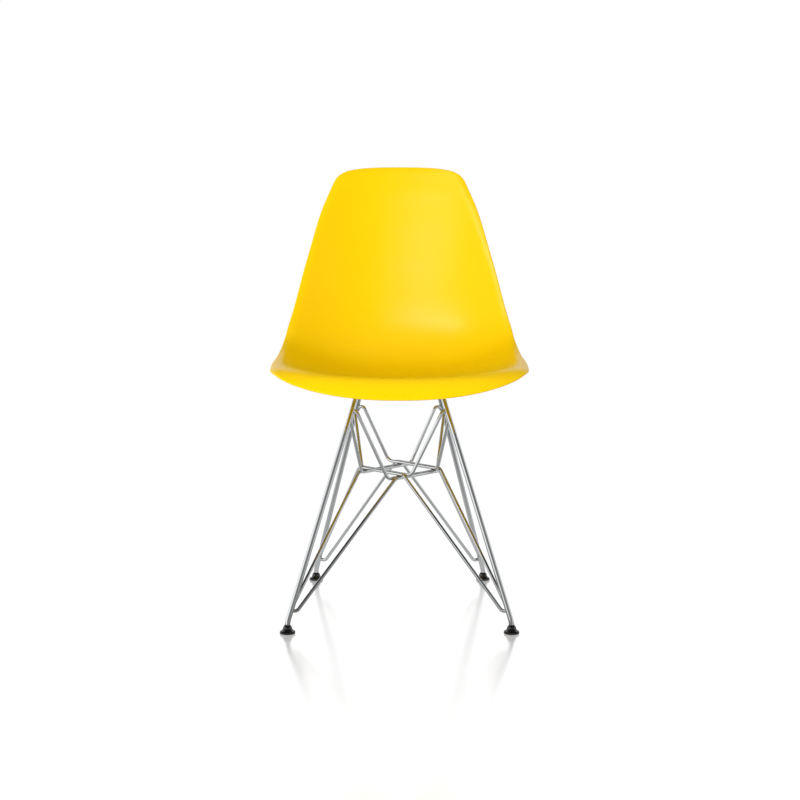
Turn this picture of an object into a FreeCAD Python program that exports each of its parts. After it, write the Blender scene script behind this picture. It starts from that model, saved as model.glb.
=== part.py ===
"""Side chair: one-piece moulded plastic shell on a welded wire base with tilting floor glides.

Units are millimetres. +Z is up and the sitter faces -Y. The sizes below are measured from the
floor under the middle of the base; the finished chair is moved so that the origin lies on the
floor under the middle of its overall width and depth.
"""
import FreeCAD, Part
import math
import os

Vector = FreeCAD.Vector
UP = Vector(0, 0, 1)

# Shell: stations along the middle of the seat and back, from past the front lip to past the top edge.
# Each has the middle line's y and z, half the width, how far the wing rises at the edge, and
# how far the rim rolls away from the sitter.
SHELL_STATIONS = (
    (-286.0, 443.0, 224.0, 12.0, 36.0),
    (-245.0, 440.0, 224.0, 18.0, 34.8),
    (-205.0, 437.5, 223.5, 25.0, 30.2),
    (-150.0, 432.0, 223.8, 33.0, 24.0),
    (-90.0, 426.5, 225.0, 39.5, 14.0),
    (-20.0, 422.5, 221.7, 48.0, 8.0),
    (50.0, 423.5, 217.6, 60.0, 5.0),
    (105.0, 434.5, 213.0, 69.0, 3.0),
    (150.0, 464.0, 208.3, 75.0, 2.0),
    (183.0, 513.0, 199.8, 73.0, 1.0),
    (207.0, 575.0, 187.1, 66.0, 1.0),
    (231.0, 645.0, 170.2, 55.0, 1.5),
    (256.0, 723.0, 149.8, 38.0, 1.5),
    (276.0, 785.0, 126.0, 24.0, 1.5),
    (296.0, 847.0, 107.0, 12.0, 1.5),
)
SHELL_WALL = 5.0
OUTLINE_MARGIN = 35.0
FRONT_CORNER_LENGTH = 116.0
FRONT_CORNER_POWER = 3.1
TOP_CORNER_LENGTH = 41.0
TOP_CORNER_POWER = 2.6
ROLL_START = 0.76
ROLL_FADE = 0.55
DISH_POWER = 2.4
RIM_BAND = 17.0
RIM_DROP = 6.0
GRID_ACROSS = 72
GRID_CROWDING = 0.6
GRID_ALONG = 90
GRID_REACH = 1.12
OUTLINE_TRACE_STEPS = 240
OUTLINE_SPACING = 12.0
OUTLINE_EDGES = 4
SURFACE_TOLERANCE = 0.1
OFFSET_TOLERANCE = 0.01
RIM_RADIUS = 2.3

# Rods and wires
ROD_RADIUS = 4.76
WIRE_RADIUS = 3.175
ROD_TOP_BEND = 16.0
ROD_FOOT_BEND = 27.0
WIRE_BEND = 11.0
HOOK_BEND = {"upper": {"front": 9.0, "rear": 7.0}, "lower": {"front": 9.0, "rear": 9.0}}
WELD_CLEARANCE = 0.03

# Legs: where the straight part of each rod would meet the top bar and the upright foot
BAR_Z = 402.0
LEG_TOP_Y = 85.4
LEG_TOP_X = {"front": 74.0, "rear": 69.0}
FOOT_Y = {"front": 212.0, "rear": 205.0}
FOOT_X = {"front": 191.5, "rear": 165.0}
FOOT_BEND_Z = 19.5

# Wire ring under the seat: a rhombus whose side wires run past the crossings
RING_Z = 251.4
RING_HALF_X = 63.0
RING_HALF_Y = 75.0
RING_TAIL = {"upper": {"end": 28.0, "side": 13.0}, "lower": {"end": 14.5, "side": 13.0}}

# Wire ends: height where each wire is welded to its leg, and the hook beside the leg
HOOK = {
    "upper": {"front": (372.0, 74.5, 99.5, 367.5), "rear": (340.0, 70.5, 94.0, 364.0)},
    "lower": {"front": (38.0, 175.8, 202.0, 36.5), "rear": (44.0, 146.0, 193.0, 41.5)},
}
SIDE_WELD_Z = {"upper": {"front": 358.0, "rear": 342.0}, "lower": {"front": 43.0, "rear": 48.0}}

# Seat fixing
TAB_THICKNESS = 3.0
TAB_WIDTH = 28.0
TAB_SINK = 1.2
TAB_CORNER = 8.0
TAB_OVERLAP = 4.5
SCREW_X = 56.0
SCREW_Y = 56.0
SCREW_RADIUS = 3.0
SCREW_HOLE_RADIUS = 3.3
SCREW_HEAD_RADIUS = 5.2
SCREW_HEAD_HEIGHT = 3.6
SCREW_HEAD_ROUND = 1.6
SCREW_SOCKET_ACROSS = 4.0
SCREW_SOCKET_DEPTH = 2.2
SCREW_REACH = 8.5
HEXAGON_SIDES = 6
WASHER_RADIUS = 5.4
WASHER_BORE_RADIUS = 3.2
WASHER_THICKNESS = 1.5
WASHER_SLOT = 1.0
INSERT_RADIUS = 4.5
INSERT_FLANGE_RADIUS = 5.6
INSERT_FLANGE_THICKNESS = 1.0
INSERT_LENGTH = 9.0
THREAD_CLEARANCE = 0.05
INSERT_CLEARANCE = 0.02
BOSS_RADIUS = 12.5
BOSS_DRAFT = 3.0
BOSS_BLOCK_HEIGHT = 26.0
BOSS_ROOT = 2.2
RIB_COUNT = 6
RIB_THICKNESS = 2.4
RIB_REACH = 25.0
RIB_LIFT = 2.5
RIB_END_HEIGHT = 11.0
FIXING_PATCH = (0.52, 130.0, 440.0)
POCKET_DEPTH = 10.5
TAB_BOTTOM_Z = BAR_Z + ROD_RADIUS - TAB_SINK
TAB_TOP_Z = TAB_BOTTOM_Z + TAB_THICKNESS
HEAD_SEAT_Z = TAB_BOTTOM_Z - WASHER_THICKNESS

# Floor glides: a ball stud in the rod end, a socket liner and a moulded boot, all about one centre
BALL_RADIUS = 4.0
BALL_Z = 8.5
NECK_RADIUS = 2.2
SPIGOT_RADIUS = 2.5
SPIGOT_LENGTH = 6.0
SPIGOT_START = 8.4
TURN_CLEARANCE = 0.3
LINER_WALL = 1.2
LINER_TOP = 2.4
LINER_DRAIN_RADIUS = 1.0
DOME_RADIUS = 8.0
BOOT_MOUTH_RADIUS = 4.3
BOOT_THROAT_HEIGHT = 4.3
BOOT_CONE_RADIUS = 9.9
BOOT_CONE_Z = 5.6
FLANGE_RADIUS = 13.4
FLANGE_TOP_Z = 4.9
FLANGE_SHOULDER = 1.2
FLANGE_SOLE_RADIUS = 12.6
FLANGE_SOLE_Z = 0.9
LINER_RADIUS = BALL_RADIUS + TURN_CLEARANCE + LINER_WALL
SOCKET_RADIUS = LINER_RADIUS + TURN_CLEARANCE

# The shell reaches further behind the base than in front of it, by twice this much
OVERALL_MIDDLE_Y = 18.8


def scaled(vector, factor):
    return Vector(vector.x * factor, vector.y * factor, vector.z * factor)


def unit(vector):
    return scaled(vector, 1.0 / vector.Length)


def rounded_path(points, radii):
    """Straight runs through the points with a tangent arc of the given radius at each inner one."""
    edges = []
    start = points[0]
    for before, corner, after, radius in zip(points, points[1:], points[2:], radii):
        inward = unit(before - corner)
        outward = unit(after - corner)
        half_turn = inward.getAngle(outward) / 2.0
        run = radius / math.tan(half_turn)
        bisector = unit(inward + outward)
        centre = corner + scaled(bisector, radius / math.sin(half_turn))
        arc_start = corner + scaled(inward, run)
        arc_end = corner + scaled(outward, run)
        arc_middle = centre - scaled(bisector, radius)
        edges.append(Part.makeLine(start, arc_start))
        edges.append(Part.Arc(arc_start, arc_middle, arc_end).toShape())
        start = arc_end
    edges.append(Part.makeLine(start, points[-1]))
    return Part.Wire(edges)


def bent_bar(points, radii, bar_radius):
    path = rounded_path(points, radii)
    profile = Part.Wire(Part.makeCircle(bar_radius, points[0], unit(points[1] - points[0])))
    return path.makePipeShell([profile], True, False)


def revolved(profile):
    """Solid of revolution about Z from a closed wire in the XZ plane."""
    return Part.Face(profile).revolve(Vector(0, 0, 0), UP, 360)


def group(solids):
    return Part.makeCompound(solids)


# Shell form
def station_curves():
    """Middle line and section measures of the shell, both as curves over the run along the middle line."""
    middle = [Vector(0, y, z) for y, z, width, lift, roll in SHELL_STATIONS]
    runs = [0.0]
    for before, after in zip(middle, middle[1:]):
        runs.append(runs[-1] + (after - before).Length)
    measures = [Vector(width, lift, roll) for y, z, width, lift, roll in SHELL_STATIONS]
    line = Part.BSplineCurve()
    line.interpolate(Points=middle, Parameters=runs)
    sections = Part.BSplineCurve()
    sections.interpolate(Points=measures, Parameters=runs)
    return line, sections, runs[-1]


MIDDLE_LINE, SECTIONS, SHELL_RUN = station_curves()
FRONT_RUN = OUTLINE_MARGIN
FRONT_CORNER_END = FRONT_RUN + FRONT_CORNER_LENGTH
TOP_RUN = SHELL_RUN - OUTLINE_MARGIN
TOP_CORNER_START = TOP_RUN - TOP_CORNER_LENGTH


def outline_ratio(across, run):
    """0 in the middle of the shell and 1 on its outline, which is a superellipse at each corner."""
    side = abs(across)
    if run < FRONT_CORNER_END:
        ahead = (FRONT_CORNER_END - run) / FRONT_CORNER_LENGTH
        power = FRONT_CORNER_POWER
        return (side ** power + ahead ** power) ** (1.0 / power)
    if run > TOP_CORNER_START:
        above = (run - TOP_CORNER_START) / TOP_CORNER_LENGTH
        power = TOP_CORNER_POWER
        return (side ** power + above ** power) ** (1.0 / power)
    return side


def rim_curl(distance):
    """How far the side rim has turned away from the sitter, 0 inside its band and 1 on the edge."""
    share = max(0.0, 1.0 - distance / RIM_BAND)
    return share ** 2 if share < 1.0 else 2.0 * share - 1.0


def shell_point(across, run):
    """Point on the sitter's face of the shell; across is -1 to 1 between the edges."""
    measures = SECTIONS.value(run)
    along = unit(MIDDLE_LINE.tangent(run)[0])
    facing = Vector(0, -along.z, along.y)
    side = abs(across)
    rolled = max(0.0, (outline_ratio(across, run) - ROLL_START) / (1.0 - ROLL_START)) ** 2
    rise = measures.y * side ** DISH_POWER - measures.z * rolled * (1.0 - ROLL_FADE * side ** 2)
    rise -= RIM_DROP * rim_curl((1.0 - side) * measures.x)
    return MIDDLE_LINE.value(run) + scaled(facing, rise) + Vector(across * measures.x, 0, 0)


def sitter_surface():
    """Smooth surface through a regular grid over the sitter's face, past the outline all round."""
    rows = []
    for i in range(GRID_ACROSS + 1):
        place = 2.0 * i / GRID_ACROSS - 1.0
        across = GRID_REACH * (place + GRID_CROWDING * math.sin(math.pi * place) / math.pi)
        rows.append([shell_point(across, SHELL_RUN * j / GRID_ALONG) for j in range(GRID_ALONG + 1)])
    surface = Part.BSplineSurface()
    surface.approximate(Points=rows, DegMin=3, DegMax=5, Continuity=2, Tolerance=SURFACE_TOLERANCE)
    return surface


def outline_half():
    """(across, run) along the right half of the outline, evenly spaced from front middle to top middle."""
    places = []
    for i in range(OUTLINE_TRACE_STEPS + 1):
        angle = math.pi / 2.0 * i / OUTLINE_TRACE_STEPS
        across = math.sin(angle) ** (2.0 / FRONT_CORNER_POWER)
        ahead = max(math.cos(angle), 0.0) ** (2.0 / FRONT_CORNER_POWER)
        places.append((across, FRONT_CORNER_END - FRONT_CORNER_LENGTH * ahead))
    for i in range(1, OUTLINE_TRACE_STEPS):
        share = i / OUTLINE_TRACE_STEPS
        places.append((1.0, FRONT_CORNER_END + share * (TOP_CORNER_START - FRONT_CORNER_END)))
    for i in range(OUTLINE_TRACE_STEPS + 1):
        angle = math.pi / 2.0 * i / OUTLINE_TRACE_STEPS
        across = max(math.cos(angle), 0.0) ** (2.0 / TOP_CORNER_POWER)
        above = math.sin(angle) ** (2.0 / TOP_CORNER_POWER)
        places.append((across, TOP_CORNER_START + TOP_CORNER_LENGTH * above))
    places[-1] = (0.0, TOP_RUN)
    return evenly_spaced(places)


def evenly_spaced(places):
    """Thins closely traced places to about equal steps over the shell's face."""
    points = [shell_point(across, run) for across, run in places]
    lengths = [0.0]
    for before, after in zip(points, points[1:]):
        lengths.append(lengths[-1] + (after - before).Length)
    count = round(lengths[-1] / OUTLINE_SPACING)
    chosen = []
    index = 0
    for step in range(count):
        while lengths[index] < lengths[-1] * step / count:
            index += 1
        chosen.append(places[index])
    chosen.append(places[-1])
    return chosen


def outline_places():
    """(across, run) once round the shell, starting in the middle of the top edge."""
    half = outline_half()
    left = [(-across, run) for across, run in half]
    return list(reversed(left)) + half[1:-1]


def outline_edges(surface):
    """The outline as OUTLINE_EDGES edges that lie on the surface."""
    marks = []
    for across, run in outline_places():
        marks.append(FreeCAD.Base.Vector2d(*surface.parameter(shell_point(across, run))))
    outline = Part.Geom2d.BSplineCurve2d()
    outline.interpolate(Points=marks, PeriodicFlag=True)
    start = outline.FirstParameter
    length = outline.LastParameter - start
    edges = []
    for part in range(OUTLINE_EDGES):
        piece = outline.copy()
        piece.segment(start + length * part / OUTLINE_EDGES, start + length * (part + 1) / OUTLINE_EDGES)
        edges.append(piece.toShape(surface))
    return edges


def shell_panel(surface):
    """The shell before its bosses: one wall of even thickness with a rounded rim."""
    face = Part.Face(surface, Part.Wire(outline_edges(surface)))
    panel = face.makeOffsetShape(-SHELL_WALL, OFFSET_TOLERANCE, fill=True)
    rims = [edge for edge in panel.Edges if edge.Length > 2.0 * SHELL_WALL]
    return panel.makeFillet(RIM_RADIUS, rims)


OPPOSITE_END = {"front": "rear", "rear": "front"}


def corner_places():
    """The four fixing places, as (end, x sign, y sign)."""
    return [(end, side, way) for end, way in (("front", -1), ("rear", 1)) for side in (-1, 1)]


def at_fixings(solid):
    """Copies of a solid drawn on the Z axis, one at each fixing place."""
    copies = []
    for end, side, way in corner_places():
        copies.append(solid.translated(Vector(side * SCREW_X, way * SCREW_Y, 0)))
    return copies


def cylinder(radius, bottom, top):
    return Part.makeCylinder(radius, top - bottom, Vector(0, 0, bottom))


def boss_with_ribs():
    """Round boss with gussets spread about it, both tall enough to pass through the seat."""
    block = Part.makeCone(BOSS_RADIUS, BOSS_RADIUS + BOSS_DRAFT, BOSS_BLOCK_HEIGHT, Vector(0, 0, TAB_TOP_Z))
    low = TAB_TOP_Z + RIB_LIFT
    top = TAB_TOP_Z + BOSS_BLOCK_HEIGHT
    profile = Part.makePolygon([
        Vector(0, 0, low),
        Vector(BOSS_RADIUS, 0, low),
        Vector(RIB_REACH, 0, TAB_TOP_Z + RIB_END_HEIGHT),
        Vector(RIB_REACH, 0, top),
        Vector(0, 0, top),
        Vector(0, 0, low),
    ])
    rib = Part.Face(profile).extrude(Vector(0, RIB_THICKNESS, 0))
    rib.translate(Vector(0, -RIB_THICKNESS / 2.0, 0))
    ribs = [rib.rotated(Vector(0, 0, 0), UP, 360.0 * i / RIB_COUNT) for i in range(RIB_COUNT)]
    return block.fuse(ribs)


def space_over_bosses(surface):
    """Everything from a little under the sitter's face upwards, over the fixing places."""
    across, first_run, last_run = FIXING_PATCH
    corners = [surface.parameter(shell_point(*place)) for place in ((-across, first_run), (across, last_run))]
    patch = surface.toShape(corners[0][0], corners[1][0], corners[0][1], corners[1][1])
    patch.translate(Vector(0, 0, -BOSS_ROOT))
    return patch.extrude(Vector(0, 0, 2.0 * BOSS_BLOCK_HEIGHT))


def seat_shell():
    surface = sitter_surface()
    over = space_over_bosses(surface)
    bosses = [boss.cut(over) for boss in at_fixings(boss_with_ribs())]
    pocket = cylinder(INSERT_RADIUS + INSERT_CLEARANCE, TAB_TOP_Z, TAB_TOP_Z + POCKET_DEPTH)
    flange_seat = cylinder(
        INSERT_FLANGE_RADIUS + INSERT_CLEARANCE, TAB_TOP_Z, TAB_TOP_Z + INSERT_FLANGE_THICKNESS
    )
    shell = shell_panel(surface).fuse(bosses)
    return shell.cut(at_fixings(pocket.fuse(flange_seat)))


# Seat fixing
def threaded_insert():
    flange = cylinder(INSERT_FLANGE_RADIUS, TAB_TOP_Z, TAB_TOP_Z + INSERT_FLANGE_THICKNESS)
    barrel = cylinder(INSERT_RADIUS, TAB_TOP_Z, TAB_TOP_Z + INSERT_LENGTH)
    bore = cylinder(SCREW_RADIUS + THREAD_CLEARANCE, TAB_TOP_Z, TAB_TOP_Z + INSERT_LENGTH)
    return flange.fuse(barrel).removeSplitter().cut(bore)


def lock_washer():
    """Split spring washer under the screw head."""
    ring = cylinder(WASHER_RADIUS, HEAD_SEAT_Z, TAB_BOTTOM_Z)
    bore = cylinder(WASHER_BORE_RADIUS, HEAD_SEAT_Z, TAB_BOTTOM_Z)
    split = Part.makeBox(
        WASHER_RADIUS, WASHER_SLOT, WASHER_THICKNESS, Vector(0, -WASHER_SLOT / 2.0, HEAD_SEAT_Z)
    )
    return ring.cut(bore).cut(split)


def mount_screw():
    """Button-head screw with a hexagon socket, driven from below."""
    head_bottom = HEAD_SEAT_Z - SCREW_HEAD_HEIGHT
    head = cylinder(SCREW_HEAD_RADIUS, head_bottom, HEAD_SEAT_Z)
    lower_rim = [edge for edge in head.Edges if edge.Closed and edge.BoundBox.ZMax < HEAD_SEAT_Z]
    head = head.makeFillet(SCREW_HEAD_ROUND, lower_rim)
    shank = cylinder(SCREW_RADIUS, HEAD_SEAT_Z, TAB_TOP_Z + SCREW_REACH)
    corner = Vector(SCREW_SOCKET_ACROSS / 2.0 / math.cos(math.pi / HEXAGON_SIDES), 0, head_bottom)
    corners = []
    for i in range(HEXAGON_SIDES + 1):
        turn = FreeCAD.Rotation(UP, 360.0 * i / HEXAGON_SIDES)
        corners.append(turn.multVec(corner))
    socket = Part.Face(Part.makePolygon(corners)).extrude(Vector(0, 0, SCREW_SOCKET_DEPTH))
    return head.fuse(shank).cut(socket)


def mount_tab(end, side, way, rod):
    """Welded plate that reaches inboard from the top bar, its underside grooved over the rod."""
    share = (1.0 - SCREW_Y / LEG_TOP_Y) / 2.0
    bar_x = LEG_TOP_X[end] + share * (LEG_TOP_X[OPPOSITE_END[end]] - LEG_TOP_X[end])
    outer_x = bar_x + TAB_OVERLAP
    corner = Vector(SCREW_X, way * SCREW_Y - TAB_WIDTH / 2.0, TAB_BOTTOM_Z)
    plate = Part.makeBox(outer_x - SCREW_X, TAB_WIDTH, TAB_THICKNESS, corner)
    upright = [edge for edge in plate.Edges if edge.BoundBox.ZLength > TAB_THICKNESS / 2.0]
    outer_edges = [edge for edge in upright if edge.BoundBox.XMin > SCREW_X]
    plate = plate.makeFillet(TAB_CORNER, outer_edges)
    nose = cylinder(TAB_WIDTH / 2.0, TAB_BOTTOM_Z, TAB_TOP_Z)
    hole = cylinder(SCREW_HOLE_RADIUS, TAB_BOTTOM_Z, TAB_TOP_Z)
    place = Vector(SCREW_X, way * SCREW_Y, 0)
    plate = plate.fuse(nose.translated(place)).removeSplitter().cut(hole.translated(place))
    if side < 0:
        plate = plate.mirror(Vector(0, 0, 0), Vector(1, 0, 0))
    return plate.cut(rod)


# Legs and braces
def leg_place(end, side, way, z):
    """Point on the straight part of a leg's middle line at height z."""
    share = (BAR_Z - z) / (BAR_Z - FOOT_BEND_Z)
    x = LEG_TOP_X[end] + share * (FOOT_X[end] - LEG_TOP_X[end])
    y = LEG_TOP_Y + share * (FOOT_Y[end] - LEG_TOP_Y)
    return Vector(side * x, way * y, z)


def foot_centre(end, side, way):
    return Vector(side * FOOT_X[end], way * FOOT_Y[end], BALL_Z)


def leg_rod(side):
    """One bent rod: front foot, front leg, top bar, rear leg and rear foot."""
    feet = [foot_centre("front", side, -1), foot_centre("rear", side, 1)]
    points = [
        feet[0],
        leg_place("front", side, -1, FOOT_BEND_Z),
        leg_place("front", side, -1, BAR_Z),
        leg_place("rear", side, 1, BAR_Z),
        leg_place("rear", side, 1, FOOT_BEND_Z),
        feet[1],
    ]
    rod = bent_bar(points, [ROD_FOOT_BEND, ROD_TOP_BEND, ROD_TOP_BEND, ROD_FOOT_BEND], ROD_RADIUS)
    for foot in feet:
        cup = Part.makeSphere(DOME_RADIUS + TURN_CLEARANCE, foot)
        bore = Part.makeCylinder(SPIGOT_RADIUS + INSERT_CLEARANCE, SPIGOT_LENGTH + SPIGOT_START, foot)
        rod = rod.cut(cup).cut(bore)
    return rod


def brace(kind, end, side, rods):
    """Wire from one leg over its end of the ring and one ring side to the leg diagonally opposite.

    kind is upper or lower, end and side name the leg where the wire starts.
    """
    way = -1 if end == "front" else 1
    far_end = OPPOSITE_END[end]
    ring_side = math.hypot(RING_HALF_X, RING_HALF_Y)
    along = Vector(-side * RING_HALF_X / ring_side, -way * RING_HALF_Y / ring_side, 0)
    outward = Vector(-side * RING_HALF_Y / ring_side, way * RING_HALF_X / ring_side, 0)
    shift = WIRE_RADIUS + WELD_CLEARANCE / 2.0
    level = shift if side * way < 0 else -shift
    lateral = scaled(outward, shift if kind == "lower" else -shift)
    end_crossing = Vector(0, way * RING_HALF_Y, RING_Z + level) + lateral
    side_crossing = Vector(-side * RING_HALF_X, 0, RING_Z + level) + lateral
    weld_z, hook_x, hook_y, hook_z = HOOK[kind][end]
    points = [
        leg_place(end, side, way, weld_z),
        Vector(side * hook_x, way * hook_y, hook_z),
        end_crossing - scaled(along, RING_TAIL[kind]["end"]),
        side_crossing + scaled(along, RING_TAIL[kind]["side"]),
        leg_place(far_end, -side, -way, SIDE_WELD_Z[kind][far_end]),
    ]
    wire = bent_bar(points, [HOOK_BEND[kind][end], WIRE_BEND, WIRE_BEND], WIRE_RADIUS)
    return wire.cut(rods)


# Floor glides
def ball_stud():
    ball = Part.makeSphere(BALL_RADIUS, Vector(0, 0, BALL_Z))
    neck = cylinder(NECK_RADIUS, BALL_Z, BALL_Z + SPIGOT_START + SPIGOT_RADIUS)
    spigot = cylinder(SPIGOT_RADIUS, BALL_Z + SPIGOT_START, BALL_Z + SPIGOT_START + SPIGOT_LENGTH)
    return ball.fuse([neck, spigot])


def socket_liner():
    """Thin spherical cup that snaps over the ball; it turns on the ball, and the boot turns on it."""
    centre = Vector(0, 0, BALL_Z)
    outside = Part.makeSphere(LINER_RADIUS, centre)
    inside = Part.makeSphere(LINER_RADIUS - LINER_WALL, centre)
    above = cylinder(LINER_RADIUS, BALL_Z + LINER_TOP, BALL_Z + LINER_RADIUS)
    drain = cylinder(LINER_DRAIN_RADIUS, BALL_Z - LINER_RADIUS, BALL_Z)
    return outside.cut(inside).cut(above).cut(drain)


def glide_boot():
    """Moulded foot: floor flange, cone and dome round a spherical socket that is open at the top."""
    mouth_z = BALL_Z + math.sqrt(DOME_RADIUS ** 2 - BOOT_MOUTH_RADIUS ** 2)
    throat_z = BALL_Z + BOOT_THROAT_HEIGHT
    throat_radius = math.sqrt(SOCKET_RADIUS ** 2 - BOOT_THROAT_HEIGHT ** 2)
    dome_join = Vector(DOME_RADIUS, 0, BALL_Z)
    tilt = (math.pi / 2.0 + math.asin(BOOT_MOUTH_RADIUS / DOME_RADIUS)) / 2.0
    dome_middle = Vector(DOME_RADIUS * math.sin(tilt), 0, BALL_Z + DOME_RADIUS * math.cos(tilt))
    mouth = Vector(BOOT_MOUTH_RADIUS, 0, mouth_z)
    throat = Vector(throat_radius, 0, throat_z)
    socket_side = Vector(SOCKET_RADIUS, 0, BALL_Z)
    socket_bottom = Vector(0, 0, BALL_Z - SOCKET_RADIUS)
    sole = [
        Vector(0, 0, 0),
        Vector(FLANGE_SOLE_RADIUS, 0, 0),
        Vector(FLANGE_RADIUS, 0, FLANGE_SOLE_Z),
        Vector(FLANGE_RADIUS, 0, FLANGE_TOP_Z - FLANGE_SHOULDER),
        Vector(FLANGE_RADIUS - FLANGE_SHOULDER, 0, FLANGE_TOP_Z),
        Vector(BOOT_CONE_RADIUS, 0, BOOT_CONE_Z),
        dome_join,
    ]
    outline = Part.Wire([
        Part.makePolygon(sole),
        Part.Arc(dome_join, dome_middle, mouth).toShape(),
        Part.makeLine(mouth, throat),
        Part.Arc(throat, socket_side, socket_bottom).toShape(),
        Part.makeLine(socket_bottom, sole[0]),
    ])
    return revolved(outline)


def side_name(side):
    return "left" if side < 0 else "right"


def build():
    nodes = {"seat_shell": seat_shell()}
    nodes["threaded_inserts"] = group(at_fixings(threaded_insert()))
    nodes["lock_washers"] = group(at_fixings(lock_washer()))
    nodes["mount_screws"] = group(at_fixings(mount_screw()))
    rods = {side: leg_rod(side) for side in (-1, 1)}
    for side, rod in rods.items():
        nodes["leg_rod_" + side_name(side)] = rod
    boot = glide_boot()
    liner = socket_liner()
    stud = ball_stud()
    for end, side, way in corner_places():
        place = end + "_" + side_name(side)
        nodes["mount_tab_" + place] = mount_tab(end, side, way, rods[side])
        for kind in ("upper", "lower"):
            nodes[kind + "_brace_" + place] = brace(kind, end, side, list(rods.values()))
        foot = foot_centre(end, side, way)
        floor = Vector(foot.x, foot.y, 0)
        nodes["glide_stud_" + place] = stud.translated(floor)
        nodes["glide_liner_" + place] = liner.translated(floor)
        nodes["glide_boot_" + place] = boot.translated(floor)
    return nodes


os.makedirs("parts", exist_ok=True)
for name, solid in build().items():
    solid.translated(Vector(0, -OVERALL_MIDDLE_Y, 0)).exportStep("parts/" + name + ".step")
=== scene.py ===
"""Looks of a side chair: moulded plastic shell, chrome plated rod base and black floor glides."""

import math

import bpy
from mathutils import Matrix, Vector

bl_info = {
    "name": "Shell Side Chair",
    "version": (1, 0, 0),
    "blender": (4, 5, 0),
    "location": "View3D > Sidebar > Side Chair",
    "description": "Finishes the pieces of a moulded shell side chair and sets up a plain studio",
    "category": "Object",
}

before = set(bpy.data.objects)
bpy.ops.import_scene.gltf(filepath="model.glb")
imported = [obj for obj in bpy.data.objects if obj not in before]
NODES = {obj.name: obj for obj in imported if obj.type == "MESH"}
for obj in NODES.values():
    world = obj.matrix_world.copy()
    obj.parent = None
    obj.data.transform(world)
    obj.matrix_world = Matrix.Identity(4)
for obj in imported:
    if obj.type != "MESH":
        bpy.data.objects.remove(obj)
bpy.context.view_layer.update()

# The photograph is square, and its focal length is given in its own pixels.
IMAGE_WIDTH = 800
FOCAL_PIXELS = 1540.0
SENSOR_WIDTH = 36.0

# Sockets that share one name are reached by their place in the node's lists.
MIX_SHARE, MIX_NUMBER_A, MIX_NUMBER_B, MIX_COLOUR_A, MIX_COLOUR_B = 0, 2, 3, 6, 7
MIXED_NUMBER, MIXED_COLOUR = 0, 2
SHADER_SHARE, FIRST_SHADER, SECOND_SHADER = 0, 1, 2
EASED = {"interpolation_type": "SMOOTHSTEP"}

# The studio, in metres from the chair's middle on the floor. The sitter faces -Y.
FLOOR_REACH = 7.0
FLAG_REACH = 2.3
LIGHT_TARGET = (0.0, 0.0, 0.5)
KEY_PLACE = (-1.2, -3.2, 1.25)
KEY_SPAN = 1.8
FILL_PLACE = (0.3, -0.4, 3.0)
FILL_SPAN = 2.4

# The sheen on the back is the mirror image of a row of spots, turned so far to the chair's left.
SHEEN_TURNS = (math.radians(8.0), math.radians(22.0), math.radians(36.0), math.radians(50.0))
SHEEN_PLACE = (0.1, 0.19, 0.57)
SHEEN_DISTANCE = 2.7
SHEEN_LIFT = 2.6
SHEEN_CONE = math.radians(8.0)
SHEEN_LAMP_RADIUS = 0.1


def millimetres(value):
    """Metres from millimetres."""
    return value / 1000.0


def linear(hex_code):
    """Linear colour with alpha from an sRGB hex code such as FFC800."""
    channels = []
    for start in (0, 2, 4):
        value = int(hex_code[start:start + 2], 16) / 255.0
        if value <= 0.04045:
            channels.append(value / 12.92)
        else:
            channels.append(((value + 0.055) / 1.055) ** 2.4)
    return channels + [1.0]


def add_node(tree, kind, settings, inputs):
    """Adds a node, sets its own settings, and fills or links its inputs."""
    node = tree.nodes.new(kind)
    for name, value in settings.items():
        setattr(node, name, value)
    for name, value in inputs.items():
        if isinstance(value, bpy.types.NodeSocket):
            tree.links.new(value, node.inputs[name])
        else:
            node.inputs[name].default_value = value
    return node


def new_material(name):
    """A material with no nodes yet, and its node tree."""
    material = bpy.data.materials.new(name)
    material.use_nodes = True
    material.node_tree.nodes.clear()
    return material, material.node_tree


def named(*starts):
    """Names of the CAD nodes that start with one of the given words."""
    return [name for name in sorted(NODES) if name.startswith(starts)]


def give(material, names):
    """Puts a material on every slot of the named pieces."""
    for name in names:
        for slot in NODES[name].material_slots:
            slot.material = material


class ShellSettings(bpy.types.PropertyGroup):
    colour: bpy.props.FloatVectorProperty(
        name="Shell colour", description="Colour of the through-dyed plastic",
        subtype="COLOR", size=4, min=0.0, max=1.0, default=linear("F6CA00"))
    roughness: bpy.props.FloatProperty(
        name="Shell roughness", description="Roughness of the satin mould surface",
        subtype="FACTOR", min=0.0, max=1.0, default=0.32)
    grain: bpy.props.FloatProperty(
        name="Shell grain", description="Spacing of the fine spark-eroded grain",
        subtype="DISTANCE", unit="LENGTH", default=millimetres(0.9))


class MetalSettings(bpy.types.PropertyGroup):
    chrome_colour: bpy.props.FloatVectorProperty(
        name="Chrome colour", description="Reflection colour of the chrome plating",
        subtype="COLOR", size=4, min=0.0, max=1.0, default=linear("C9CBCC"))
    chrome_roughness: bpy.props.FloatProperty(
        name="Chrome roughness", description="Roughness of the plated rods",
        subtype="FACTOR", min=0.0, max=1.0, default=0.05)
    draw_mark: bpy.props.FloatProperty(
        name="Draw marks", description="Spacing of the faint waves left by drawing the rod",
        subtype="DISTANCE", unit="LENGTH", default=millimetres(14.0))


class GlideSettings(bpy.types.PropertyGroup):
    colour: bpy.props.FloatVectorProperty(
        name="Glide colour", description="Colour of the moulded glide boots",
        subtype="COLOR", size=4, min=0.0, max=1.0, default=linear("0E0E0F"))
    roughness: bpy.props.FloatProperty(
        name="Glide roughness", description="Roughness of the moulded glide boots",
        subtype="FACTOR", min=0.0, max=1.0, default=0.2)


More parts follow.
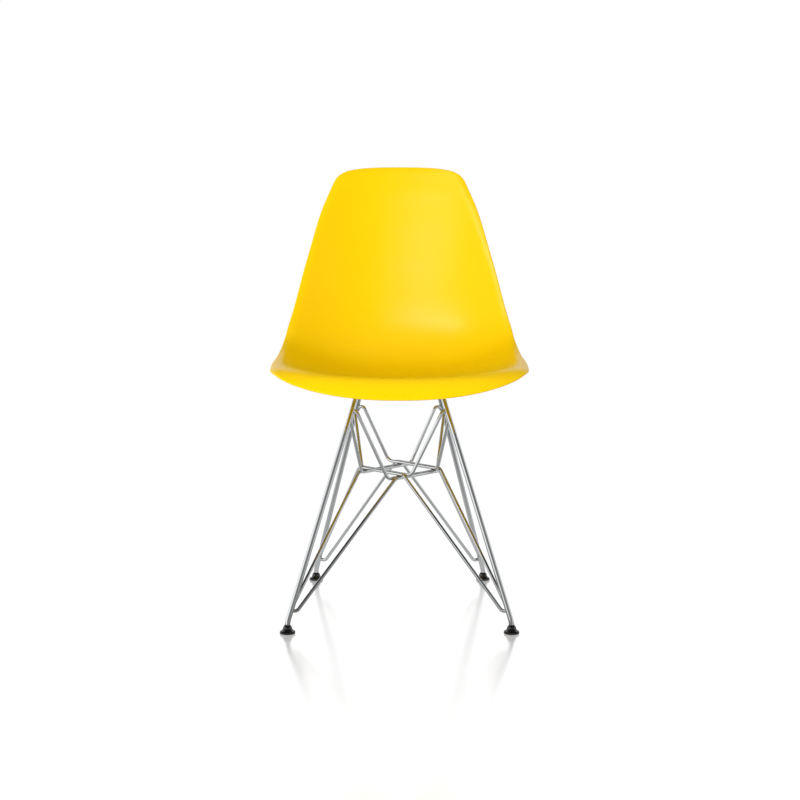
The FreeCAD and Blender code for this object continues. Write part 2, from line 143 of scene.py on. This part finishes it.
class StudioSettings(bpy.types.PropertyGroup):
    camera_place: bpy.props.FloatVectorProperty(
        name="Camera place", description="Where the camera stands",
        subtype="TRANSLATION", unit="LENGTH", default=(0.0008, -2.8088, 0.671))
    camera_pitch: bpy.props.FloatProperty(
        name="Camera pitch", description="How far the camera looks down",
        subtype="ANGLE", unit="ROTATION", default=math.radians(5.97))
    key_power: bpy.props.FloatProperty(
        name="Key power", description="Power of the large soft light in front on the left",
        unit="POWER", default=92.0)
    fill_power: bpy.props.FloatProperty(
        name="Fill power", description="Power of the soft light overhead",
        unit="POWER", default=7.0)
    sky: bpy.props.FloatProperty(
        name="Room light", description="Strength of the white room on the pieces",
        min=0.0, default=0.82)
    sheen_power: bpy.props.FloatProperty(
        name="Sheen power", description="Power of each small spot that gives the shell its sheen",
        unit="POWER", default=120.0)


class ChairSettings(bpy.types.PropertyGroup):
    shell: bpy.props.PointerProperty(type=ShellSettings, name="Shell", description="Shell finish")
    metal: bpy.props.PointerProperty(type=MetalSettings, name="Metal", description="Metal finish")
    glide: bpy.props.PointerProperty(type=GlideSettings, name="Glides", description="Glide finish")
    studio: bpy.props.PointerProperty(type=StudioSettings, name="Studio", description="Studio")


def settings():
    """The chair's settings in the open scene."""
    return bpy.context.scene.side_chair


def moulded_polypropylene():
    """Injection moulded polypropylene: an even satin surface with a very fine eroded grain."""
    finish = settings().shell
    flow_colour = linear("F5C700")
    flow_length = millimetres(160.0)
    flow_roughness = 0.03
    material, tree = new_material("moulded_polypropylene_satin")
    place = add_node(tree, "ShaderNodeTexCoord", {}, {})
    # The real grain is finer than a pixel, so it is drawn as coarse as it needs to be to show.
    grain = add_node(tree, "ShaderNodeTexNoise", {}, {
        "Vector": place.outputs["Object"], "Scale": 1.0 / finish.grain, "Detail": 2.0,
        "Roughness": 0.6})
    grain_bump = add_node(tree, "ShaderNodeBump", {}, {
        "Height": grain.outputs["Fac"], "Strength": 0.03, "Distance": millimetres(0.08)})
    # The melt's slow flow leaves wide, hardly visible changes of tone and gloss.
    flow = add_node(tree, "ShaderNodeTexNoise", {}, {
        "Vector": place.outputs["Object"], "Scale": 1.0 / flow_length, "Detail": 1.0})
    gloss = add_node(tree, "ShaderNodeMapRange", {}, {
        "Value": flow.outputs["Fac"], "To Min": finish.roughness - flow_roughness,
        "To Max": finish.roughness + flow_roughness})
    shade = add_node(tree, "ShaderNodeMix", {"data_type": "RGBA"}, {
        MIX_SHARE: flow.outputs["Fac"], MIX_COLOUR_A: flow_colour,
        MIX_COLOUR_B: finish.colour[:]})
    surface = add_node(tree, "ShaderNodeBsdfPrincipled", {}, {
        "Base Color": shade.outputs[MIXED_COLOUR], "Roughness": gloss.outputs["Result"],
        "IOR": 1.49, "Specular IOR Level": 0.12, "Normal": grain_bump.outputs["Normal"]})
    add_node(tree, "ShaderNodeOutputMaterial", {}, {"Surface": surface.outputs["BSDF"]})
    return material


def plated_chrome():
    """Bright chrome plating on drawn steel: mirror-like, with the faintest waves along the rod."""
    finish = settings().metal
    handling_marks = 0.02
    material, tree = new_material("chrome_plated_drawn_steel")
    place = add_node(tree, "ShaderNodeTexCoord", {}, {})
    waves = add_node(tree, "ShaderNodeTexNoise", {}, {
        "Vector": place.outputs["Object"], "Scale": 1.0 / finish.draw_mark, "Detail": 2.0})
    wave_bump = add_node(tree, "ShaderNodeBump", {}, {
        "Height": waves.outputs["Fac"], "Strength": 0.05, "Distance": millimetres(0.2)})
    handled = add_node(tree, "ShaderNodeMapRange", {}, {
        "Value": waves.outputs["Fac"], "To Min": finish.chrome_roughness - handling_marks,
        "To Max": finish.chrome_roughness + handling_marks})
    surface = add_node(tree, "ShaderNodeBsdfPrincipled", {}, {
        "Base Color": finish.chrome_colour[:], "Metallic": 1.0,
        "Roughness": handled.outputs["Result"], "Normal": wave_bump.outputs["Normal"]})
    add_node(tree, "ShaderNodeOutputMaterial", {}, {"Surface": surface.outputs["BSDF"]})
    return material


def plated_zinc():
    """Bright zinc plating on small steel pieces: softer and a little cooler than the chrome."""
    tumbling_mark = millimetres(1.5)
    material, tree = new_material("zinc_plated_steel")
    place = add_node(tree, "ShaderNodeTexCoord", {}, {})
    tumbling = add_node(tree, "ShaderNodeTexNoise", {}, {
        "Vector": place.outputs["Object"], "Scale": 1.0 / tumbling_mark, "Detail": 3.0})
    tumbled = add_node(tree, "ShaderNodeMapRange", {}, {
        "Value": tumbling.outputs["Fac"], "To Min": 0.22, "To Max": 0.36})
    surface = add_node(tree, "ShaderNodeBsdfPrincipled", {}, {
        "Base Color": linear("B4B8BC"), "Metallic": 1.0, "Roughness": tumbled.outputs["Result"]})
    add_node(tree, "ShaderNodeOutputMaterial", {}, {"Surface": surface.outputs["BSDF"]})
    return material


def turned_brass():
    """Turned brass of the threaded inserts: warm yellow metal with fine turning marks."""
    turning_mark = millimetres(1.0)
    material, tree = new_material("turned_brass")
    place = add_node(tree, "ShaderNodeTexCoord", {}, {})
    turning = add_node(tree, "ShaderNodeTexWave", {"bands_direction": "Z"}, {
        "Vector": place.outputs["Object"], "Scale": 1.0 / turning_mark, "Distortion": 0.4})
    turned = add_node(tree, "ShaderNodeMapRange", {}, {
        "Value": turning.outputs["Fac"], "To Min": 0.25, "To Max": 0.4})
    surface = add_node(tree, "ShaderNodeBsdfPrincipled", {}, {
        "Base Color": linear("D9B36A"), "Metallic": 1.0, "Roughness": turned.outputs["Result"]})
    add_node(tree, "ShaderNodeOutputMaterial", {}, {"Surface": surface.outputs["BSDF"]})
    return material


def natural_nylon():
    """Natural nylon of the socket liners: milky and smooth, with faint clouds in it."""
    cloud_size = millimetres(3.0)
    material, tree = new_material("natural_nylon")
    place = add_node(tree, "ShaderNodeTexCoord", {}, {})
    clouds = add_node(tree, "ShaderNodeTexNoise", {}, {
        "Vector": place.outputs["Object"], "Scale": 1.0 / cloud_size})
    milk = add_node(tree, "ShaderNodeMix", {"data_type": "RGBA"}, {
        MIX_SHARE: clouds.outputs["Fac"], MIX_COLOUR_A: linear("E4E0D2"),
        MIX_COLOUR_B: linear("EFECE2")})
    surface = add_node(tree, "ShaderNodeBsdfPrincipled", {}, {
        "Base Color": milk.outputs[MIXED_COLOUR], "Roughness": 0.4, "IOR": 1.53})
    add_node(tree, "ShaderNodeOutputMaterial", {}, {"Surface": surface.outputs["BSDF"]})
    return material


def moulded_polyethylene():
    """Black moulded polyethylene of the glide boots: a soft sheen with light scuffs all over."""
    finish = settings().glide
    scuff_size = millimetres(2.0)
    material, tree = new_material("moulded_polyethylene_black")
    place = add_node(tree, "ShaderNodeTexCoord", {}, {})
    scuffs = add_node(tree, "ShaderNodeTexNoise", {}, {
        "Vector": place.outputs["Object"], "Scale": 1.0 / scuff_size, "Detail": 4.0})
    scuffed = add_node(tree, "ShaderNodeMapRange", {}, {
        "Value": scuffs.outputs["Fac"], "To Min": finish.roughness - 0.04,
        "To Max": finish.roughness + 0.06})
    scuff_bump = add_node(tree, "ShaderNodeBump", {}, {
        "Height": scuffs.outputs["Fac"], "Strength": 0.08, "Distance": millimetres(0.1)})
    surface = add_node(tree, "ShaderNodeBsdfPrincipled", {}, {
        "Base Color": finish.colour[:], "Roughness": scuffed.outputs["Result"], "IOR": 1.5,
        "Specular IOR Level": 0.8, "Normal": scuff_bump.outputs["Normal"]})
    add_node(tree, "ShaderNodeOutputMaterial", {}, {"Surface": surface.outputs["BSDF"]})
    return material


class SIDECHAIR_OT_shell(bpy.types.Operator):
    """Gives the moulded seat shell its plastic"""
    bl_idname = "side_chair.shell"
    bl_label = "Finish shell"

    def execute(self, context):
        give(moulded_polypropylene(), named("seat_shell"))
        return {"FINISHED"}


class SIDECHAIR_OT_base(bpy.types.Operator):
    """Gives the leg rods, braces and tabs their chrome"""
    bl_idname = "side_chair.base"
    bl_label = "Finish rod base"

    def execute(self, context):
        give(plated_chrome(), named("leg_rod", "upper_brace", "lower_brace", "mount_tab"))
        return {"FINISHED"}


class SIDECHAIR_OT_fixings(bpy.types.Operator):
    """Gives the screws, washers, ball studs and threaded inserts their metals"""
    bl_idname = "side_chair.fixings"
    bl_label = "Finish fixings"

    def execute(self, context):
        give(plated_zinc(), named("mount_screws", "lock_washers", "glide_stud"))
        give(turned_brass(), named("threaded_inserts"))
        return {"FINISHED"}


class SIDECHAIR_OT_glides(bpy.types.Operator):
    """Gives the tilting floor glides their plastics"""
    bl_idname = "side_chair.glides"
    bl_label = "Finish glides"

    def execute(self, context):
        give(moulded_polyethylene(), named("glide_boot"))
        give(natural_nylon(), named("glide_liner"))
        return {"FINISHED"}


def distance_from_middle(tree):
    """How far a point is from the chair's middle on the floor."""
    geometry = add_node(tree, "ShaderNodeNewGeometry", {}, {})
    length = add_node(tree, "ShaderNodeVectorMath", {"operation": "LENGTH"}, {
        0: geometry.outputs["Position"]})
    return length.outputs["Value"]


def seen_directly(tree):
    """1 for what the camera, a mirror-like surface or glass shows, 0 for light on the pieces."""
    path = add_node(tree, "ShaderNodeLightPath", {}, {})
    seen = add_node(tree, "ShaderNodeMath", {"operation": "MAXIMUM"}, {
        0: path.outputs["Is Camera Ray"], 1: path.outputs["Is Glossy Ray"]})
    through = add_node(tree, "ShaderNodeMath", {"operation": "MAXIMUM"}, {
        0: seen.outputs["Value"], 1: path.outputs["Is Transmission Ray"]})
    return through.outputs["Value"]


def white_gloss_board():
    """White lacquered board: even white with a faint shadow and a soft reflection at each glide."""
    material, tree = new_material("white_gloss_board")
    white = linear("FFFFFF")
    matt = add_node(tree, "ShaderNodeBsdfDiffuse", {}, {"Color": linear("DCDCDC")})
    # Half of what is seen is an even glow, so the board reads as white and keeps its shadow.
    glow = add_node(tree, "ShaderNodeEmission", {}, {"Color": white, "Strength": 2.2})
    glow_share = add_node(tree, "ShaderNodeMath", {"operation": "MULTIPLY"}, {
        0: seen_directly(tree), 1: 0.5})
    board = add_node(tree, "ShaderNodeMixShader", {}, {
        SHADER_SHARE: glow_share.outputs["Value"], FIRST_SHADER: matt.outputs["BSDF"],
        SECOND_SHADER: glow.outputs["Emission"]})
    # The lacquer mirrors more the flatter it is looked at.
    slant = add_node(tree, "ShaderNodeLayerWeight", {}, {"Blend": 0.5})
    squared = add_node(tree, "ShaderNodeMath", {"operation": "POWER"}, {
        0: slant.outputs["Facing"], 1: 2.0})
    lacquer_share = add_node(tree, "ShaderNodeMath", {"operation": "MULTIPLY"}, {
        0: squared.outputs["Value"], 1: 1.2})
    lacquer = add_node(tree, "ShaderNodeBsdfGlossy", {}, {"Color": white, "Roughness": 0.19})
    lacquered = add_node(tree, "ShaderNodeMixShader", {}, {
        SHADER_SHARE: lacquer_share.outputs["Value"], FIRST_SHADER: board.outputs["Shader"],
        SECOND_SHADER: lacquer.outputs["BSDF"]})
    far = add_node(tree, "ShaderNodeMapRange", EASED, {
        "Value": distance_from_middle(tree), "From Min": 0.9, "From Max": 2.0})
    plain = add_node(tree, "ShaderNodeEmission", {}, {"Color": white, "Strength": 1.0})
    blend = add_node(tree, "ShaderNodeMixShader", {}, {
        SHADER_SHARE: far.outputs["Result"], FIRST_SHADER: lacquered.outputs["Shader"],
        SECOND_SHADER: plain.outputs["Emission"]})
    add_node(tree, "ShaderNodeOutputMaterial", {}, {"Surface": blend.outputs["Shader"]})
    return material


def grey_flag():
    """Glowing grey sheet, hidden from the camera, that the polished metal reflects from above: a
    painted reflection that draws its dark edges.
    """
    dark, pale = 0.27, 0.7
    material, tree = new_material("painted_reflection_sheet")
    geometry = add_node(tree, "ShaderNodeNewGeometry", {}, {})
    place = add_node(tree, "ShaderNodeSeparateXYZ", {}, {"Vector": geometry.outputs["Position"]})
    aside = add_node(tree, "ShaderNodeMath", {"operation": "ABSOLUTE"}, {0: place.outputs["X"]})
    # The painted reflection is dark in front of the chair, and pale beside and behind it.
    shares = []
    for value, start, end in ((aside.outputs["Value"], 0.3, 0.6), (place.outputs["Y"], -0.3, 0.2)):
        share = add_node(tree, "ShaderNodeMapRange", EASED, {
            "Value": value, "From Min": start, "From Max": end})
        shares.append(share.outputs["Result"])
    paler = add_node(tree, "ShaderNodeMath", {"operation": "MAXIMUM"}, {0: shares[0], 1: shares[1]})
    brightness = add_node(tree, "ShaderNodeMix", {}, {
        MIX_SHARE: paler.outputs["Value"], MIX_NUMBER_A: dark, MIX_NUMBER_B: pale})
    # The sheet glows though it is no lamp, to paint grey reflections into the metal.
    painted_reflection_glow = add_node(tree, "ShaderNodeEmission", {}, {
        "Color": linear("FFFFFF"), "Strength": brightness.outputs[MIXED_NUMBER]})
    clear = add_node(tree, "ShaderNodeBsdfTransparent", {}, {})
    far = add_node(tree, "ShaderNodeMapRange", EASED, {
        "Value": distance_from_middle(tree), "From Min": 0.8, "From Max": 2.2})
    away = add_node(tree, "ShaderNodeMath", {"operation": "MAXIMUM"}, {
        0: far.outputs["Result"], 1: geometry.outputs["Backfacing"]})
    blend = add_node(tree, "ShaderNodeMixShader", {}, {
        SHADER_SHARE: away.outputs["Value"], FIRST_SHADER: painted_reflection_glow.outputs["Emission"],
        SECOND_SHADER: clear.outputs["BSDF"]})
    add_node(tree, "ShaderNodeOutputMaterial", {}, {"Surface": blend.outputs["Shader"]})
    return material


def flat_sheet(name, reach, height, material):
    """A square sheet, level over the floor, that belongs to the studio and not to the chair."""
    corners = [(-reach, -reach, height), (reach, -reach, height),
               (reach, reach, height), (-reach, reach, height)]
    mesh = bpy.data.meshes.new(name)
    mesh.from_pydata(corners, [], [(0, 1, 2, 3)])
    mesh.materials.append(material)
    sheet = bpy.data.objects.new(name, mesh)
    bpy.context.scene.collection.objects.link(sheet)
    return sheet


def floor_and_flag():
    """Lays the white floor, and just over it a glowing grey sheet that only reflections show, as
    painted reflection in the metal.
    """
    flat_sheet("floor", FLOOR_REACH, 0.0, white_gloss_board())
    flag = flat_sheet("grey_flag", FLAG_REACH, millimetres(1.0), grey_flag())
    # Only glossy rays see the sheet, so it shows as painted reflection and nowhere else.
    flag.visible_camera = False
    flag.visible_diffuse = False
    flag.visible_shadow = False
    flag.visible_transmission = False


def soft_light(name, place, span, power):
    """A large square lamp that looks at the chair and shows in no reflection."""
    lamp = bpy.data.lights.new(name, "AREA")
    lamp.shape = "RECTANGLE"
    lamp.size = span
    lamp.size_y = span
    lamp.energy = power
    light = bpy.data.objects.new(name, lamp)
    light.location = place
    looking = Vector(LIGHT_TARGET) - Vector(place)
    light.rotation_euler = looking.to_track_quat("-Z", "Y").to_euler()
    light.visible_glossy = False
    bpy.context.scene.collection.objects.link(light)


def sheen_spot(turn, power):
    """A narrow spot from the left whose mirror image is part of the soft sheen on the back."""
    away = Vector((-math.sin(turn) * SHEEN_DISTANCE, -math.cos(turn) * SHEEN_DISTANCE, SHEEN_LIFT))
    name = "sheen_spot_%02d" % round(math.degrees(turn))
    lamp = bpy.data.lights.new(name, "SPOT")
    lamp.energy = power
    lamp.spot_size = SHEEN_CONE
    lamp.spot_blend = 1.0
    lamp.shadow_soft_size = SHEEN_LAMP_RADIUS
    light = bpy.data.objects.new(name, lamp)
    light.location = Vector(SHEEN_PLACE) + away
    light.rotation_euler = away.to_track_quat("Z", "Y").to_euler()
    light.visible_diffuse = False
    bpy.context.scene.collection.objects.link(light)
    reached = bpy.data.collections.new("lit_by_" + name)
    for piece in named("seat_shell"):
        reached.objects.link(NODES[piece])
    light.light_linking.receiver_collection = reached


def white_room(strength):
    """White studio walls under a darker ceiling; the camera sees plain white all round."""
    world = bpy.data.worlds.new("white_room")
    world.use_nodes = True
    tree = world.node_tree
    tree.nodes.clear()
    place = add_node(tree, "ShaderNodeTexCoord", {}, {})
    direction = add_node(tree, "ShaderNodeSeparateXYZ", {}, {"Vector": place.outputs["Generated"]})
    across, ahead, height = (direction.outputs[axis] for axis in ("X", "Y", "Z"))

    # What the metal mirrors: the dark gap in front with a bright window on the left, then the
    # right wall, the wall behind the chair and the ceiling, each with where it starts and is full.
    front = add_node(tree, "ShaderNodeMapRange", EASED, {
        "Value": across, "From Min": -0.32, "From Max": -0.66, "To Min": 0.3, "To Max": 1.5})
    mirrored = front.outputs["Result"]
    for value, start, full, brightness in (
            (across, 0.7, 0.95, 1.1), (ahead, 0.1, 0.6, 1.0), (height, 0.42, 0.68, 0.02)):
        share = add_node(tree, "ShaderNodeMapRange", EASED, {
            "Value": value, "From Min": start, "From Max": full})
        wall = add_node(tree, "ShaderNodeMix", {}, {
            MIX_SHARE: share.outputs["Result"], MIX_NUMBER_A: mirrored, MIX_NUMBER_B: brightness})
        mirrored = wall.outputs[MIXED_NUMBER]
    path = add_node(tree, "ShaderNodeLightPath", {}, {})
    shown = add_node(tree, "ShaderNodeMix", {}, {
        MIX_SHARE: path.outputs["Is Camera Ray"], MIX_NUMBER_A: mirrored, MIX_NUMBER_B: 1.0})

    # What lights the pieces: brighter from low down, and from behind than from in front.
    halves = []
    for low, high in ((1.0, 0.35), (1.5, 0.6)):
        half = add_node(tree, "ShaderNodeMapRange", EASED, {
            "Value": height, "From Min": 0.0, "From Max": 0.8,
            "To Min": strength * low, "To Max": strength * high})
        halves.append(half.outputs["Result"])
    behind = add_node(tree, "ShaderNodeMapRange", EASED, {
        "Value": ahead, "From Min": -0.1, "From Max": 0.5})
    soft = add_node(tree, "ShaderNodeMix", {}, {
        MIX_SHARE: behind.outputs["Result"], MIX_NUMBER_A: halves[0], MIX_NUMBER_B: halves[1]})

    level = add_node(tree, "ShaderNodeMix", {}, {
        MIX_SHARE: seen_directly(tree), MIX_NUMBER_A: soft.outputs[MIXED_NUMBER],
        MIX_NUMBER_B: shown.outputs[MIXED_NUMBER]})
    sky = add_node(tree, "ShaderNodeBackground", {}, {
        "Color": linear("FFFFFF"), "Strength": level.outputs[MIXED_NUMBER]})
    add_node(tree, "ShaderNodeOutputWorld", {}, {"Surface": sky.outputs["Background"]})
    bpy.context.scene.world = world


def photo_camera(studio):
    """The camera at the photograph's place and angle."""
    data = bpy.data.cameras.new("photo_camera")
    data.sensor_fit = "HORIZONTAL"
    data.sensor_width = SENSOR_WIDTH
    data.lens = FOCAL_PIXELS / IMAGE_WIDTH * SENSOR_WIDTH
    camera = bpy.data.objects.new("photo_camera", data)
    camera.location = studio.camera_place
    camera.rotation_euler = (math.pi / 2.0 - studio.camera_pitch, 0.0, 0.0)
    bpy.context.scene.collection.objects.link(camera)
    bpy.context.scene.camera = camera


class SIDECHAIR_OT_studio(bpy.types.Operator):
    """Sets up the floor, the lights, the white room and the camera"""
    bl_idname = "side_chair.studio"
    bl_label = "Set up studio"

    def execute(self, context):
        studio = settings().studio
        floor_and_flag()
        soft_light("key_light", KEY_PLACE, KEY_SPAN, studio.key_power)
        soft_light("top_light", FILL_PLACE, FILL_SPAN, studio.fill_power)
        for turn in SHEEN_TURNS:
            sheen_spot(turn, studio.sheen_power)
        white_room(studio.sky)
        photo_camera(studio)
        context.scene.view_settings.view_transform = "Standard"
        return {"FINISHED"}


STEPS = (SIDECHAIR_OT_shell, SIDECHAIR_OT_base, SIDECHAIR_OT_fixings, SIDECHAIR_OT_glides,
         SIDECHAIR_OT_studio)


class SIDECHAIR_PT_steps(bpy.types.Panel):
    bl_idname = "SIDECHAIR_PT_steps"
    bl_label = "Side Chair"
    bl_space_type = "VIEW_3D"
    bl_region_type = "UI"
    bl_category = "Side Chair"

    def draw(self, context):
        for step in STEPS:
            self.layout.operator(step.bl_idname)
        chair = context.scene.side_chair
        for group in (chair.shell, chair.metal, chair.glide, chair.studio):
            box = self.layout.box()
            for name in group.bl_rna.properties.keys():
                if name not in ("rna_type", "name"):
                    box.prop(group, name)


GROUPS = (ShellSettings, MetalSettings, GlideSettings, StudioSettings, ChairSettings)
CLASSES = GROUPS + STEPS + (SIDECHAIR_PT_steps,)


def register():
    for item in CLASSES:
        bpy.utils.register_class(item)
    bpy.types.Scene.side_chair = bpy.props.PointerProperty(
        type=ChairSettings, name="Side chair", description="Colours, finish and light of the chair")


def unregister():
    del bpy.types.Scene.side_chair
    for item in reversed(CLASSES):
        bpy.utils.unregister_class(item)


def main():
    register()
    bpy.ops.side_chair.shell()
    bpy.ops.side_chair.base()
    bpy.ops.side_chair.fixings()
    bpy.ops.side_chair.glides()
    bpy.ops.side_chair.studio()


if __name__ == "__main__":
    main()
